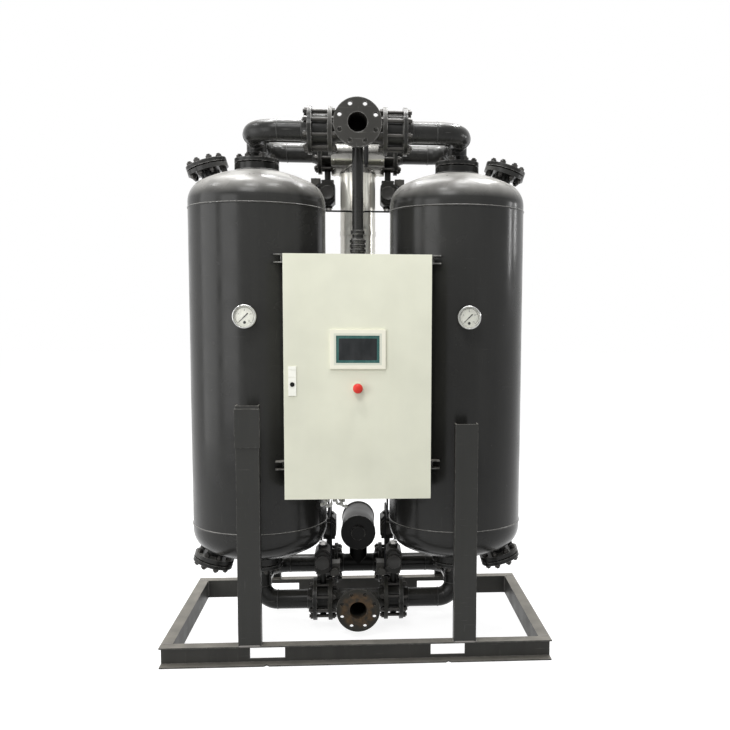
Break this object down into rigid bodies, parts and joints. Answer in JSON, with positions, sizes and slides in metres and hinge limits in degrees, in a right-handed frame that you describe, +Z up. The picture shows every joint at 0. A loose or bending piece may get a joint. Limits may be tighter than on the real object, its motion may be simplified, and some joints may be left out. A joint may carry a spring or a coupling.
{
  "type": "desiccant air dryer",
  "caption": "Skid-mounted twin tower desiccant compressed air dryer with dished pressure vessels, flanged valve manifolds, a clad heater column and a control cabinet.",
  "frame": {"origin": "on the floor, under the middle of the bounding box", "axes": "+Z up, -Y towards the front with the cabinet door, +X to the right as the door is faced"},
  "size_m": [1.67, 1.06, 2.3739],
  "materials": {
    "frame_paint": "dark grey semi-gloss paint, worn on its top edges",
    "vessel_paint": "dark grey semi-gloss paint",
    "pipe_paint": "dark grey semi-gloss paint",
    "valve_paint": "dark grey paint over castings",
    "actuator_paint": "dark satin coating",
    "valve_steel": "machined",
    "cabinet_paint": "cream powder coat",
    "zinc_plate": "zinc plated",
    "device_plastic": "moulded",
    "panel_plastic": "fine grain",
    "panel_glass": "glossy",
    "stop_collar": "moulded",
    "stop_red": "moulded",
    "lock_plate": "moulded",
    "lock_metal": "plated",
    "gauge_metal": "polished",
    "pointer_black": "painted",
    "gauge_glass": "clear",
    "cladding": "bright rolled sheet",
    "probe_metal": "plated",
    "stud_steel": "blackened and painted over",
    "gasket_fibre": "matt",
    "tube_plastic": "smooth",
    "desiccant": "granular"
  },
  "bodies": {
    "dryer": {"front_beam": "frame_paint", "rear_beam": "frame_paint", "side_beams": "frame_paint", "front_posts": "frame_paint", "rear_posts": "frame_paint", "left_vessel": "vessel_paint", "right_vessel": "vessel_paint", "desiccant_beds": "desiccant", "port_covers": "pipe_paint", "equalising_pipe": "pipe_paint", "cabinet_body": "cabinet_paint", "mounting_plate": "zinc_plate", "switchgear": "device_plastic", "upper_rail": "frame_paint", "lower_rail": "frame_paint", "left_gauge": "gauge_metal", "right_gauge": "gauge_metal", "gauge_lenses": "gauge_glass", "outlet_tee": "pipe_paint", "left_top_header": "pipe_paint", "right_top_header": "pipe_paint", "left_check_valve": "valve_paint", "right_check_valve": "valve_paint", "left_regen_valve": "valve_paint", "right_regen_valve": "valve_paint", "left_regen_actuator": "actuator_paint", "right_regen_actuator": "actuator_paint", "heater_tube": "pipe_paint", "heater_jacket": "cladding", "heater_element": "valve_steel", "purge_line": "pipe_paint", "temperature_probe": "probe_metal", "inlet_tee": "pipe_paint", "left_bottom_header": "pipe_paint", "right_bottom_header": "pipe_paint", "left_inlet_valve": "valve_paint", "right_inlet_valve": "valve_paint", "left_inlet_actuator": "actuator_paint", "right_inlet_actuator": "actuator_paint", "exhaust_pipe": "pipe_paint", "exhaust_valves": "valve_paint", "silencer": "pipe_paint", "flange_studs": "stud_steel", "flange_gaskets": "gasket_fibre", "pilot_tubes": "tube_plastic"},
    "door": {"cabinet_door": "cabinet_paint", "hmi_bezel": "panel_plastic", "hmi_screen": "panel_glass", "estop_collar": "stop_collar", "lock_plate": "lock_plate"},
    "stop_button": {"estop_button": "stop_red"},
    "lock": {"lock_cam": "lock_metal"},
    "left_needle": {"left_gauge_pointer": "pointer_black"},
    "right_needle": {"right_gauge_pointer": "pointer_black"},
    "left_check": {"left_check_disc": "valve_steel"},
    "right_check": {"right_check_disc": "valve_steel"},
    "left_regen": {"left_regen_disc": "valve_steel"},
    "right_regen": {"right_regen_disc": "valve_steel"},
    "left_inlet": {"left_inlet_disc": "valve_steel"},
    "right_inlet": {"right_inlet_disc": "valve_steel"}
  },
  "joints": [
    {"name": "door_hinge", "type": "hinge", "parent": "dryer", "child": "door", "pos_m": [0.292, -0.483, 1.228], "axis": [0, 0, 1], "range_deg": [0, 105]},
    {"name": "stop_press", "type": "slide", "parent": "door", "child": "stop_button", "axis": [0, 1, 0], "range_m": [0, 0.005], "stiffness_N_per_m": 1500},
    {"name": "lock_turn", "type": "hinge", "parent": "door", "child": "lock", "pos_m": [-0.265, -0.48, 1.202], "axis": [0, 1, 0], "range_deg": [0, 90]},
    {"name": "left_needle_turn", "type": "hinge", "parent": "dryer", "child": "left_needle", "pos_m": [-0.473, -0.34, 1.475], "axis": [0, 1, 0], "range_deg": [0, 270], "stiffness_Nm_per_rad": 0.01},
    {"name": "left_check_slide", "type": "slide", "parent": "dryer", "child": "left_check", "axis": [1, 0, 0], "range_m": [0, 0.012], "stiffness_N_per_m": 400},
    {"name": "left_regen_turn", "type": "hinge", "parent": "dryer", "child": "left_regen", "pos_m": [-0.147, 0.33, 2.268], "axis": [0, 0, 1], "range_deg": [0, 90]},
    {"name": "left_inlet_turn", "type": "hinge", "parent": "dryer", "child": "left_inlet", "pos_m": [-0.167, 0.03, 0.135], "axis": [0, 0, 1], "range_deg": [0, 90]},
    {"name": "right_needle_turn", "type": "hinge", "parent": "dryer", "child": "right_needle", "pos_m": [0.473, -0.34, 1.475], "axis": [0, 1, 0], "range_deg": [0, 270], "stiffness_Nm_per_rad": 0.01},
    {"name": "right_check_slide", "type": "slide", "parent": "dryer", "child": "right_check", "axis": [-1, 0, 0], "range_m": [0, 0.012], "stiffness_N_per_m": 400},
    {"name": "right_regen_turn", "type": "hinge", "parent": "dryer", "child": "right_regen", "pos_m": [0.147, 0.33, 2.268], "axis": [0, 0, 1], "range_deg": [0, 90]},
    {"name": "right_inlet_turn", "type": "hinge", "parent": "dryer", "child": "right_inlet", "pos_m": [0.167, 0.03, 0.135], "axis": [0, 0, 1], "range_deg": [0, 90]}
  ]
}
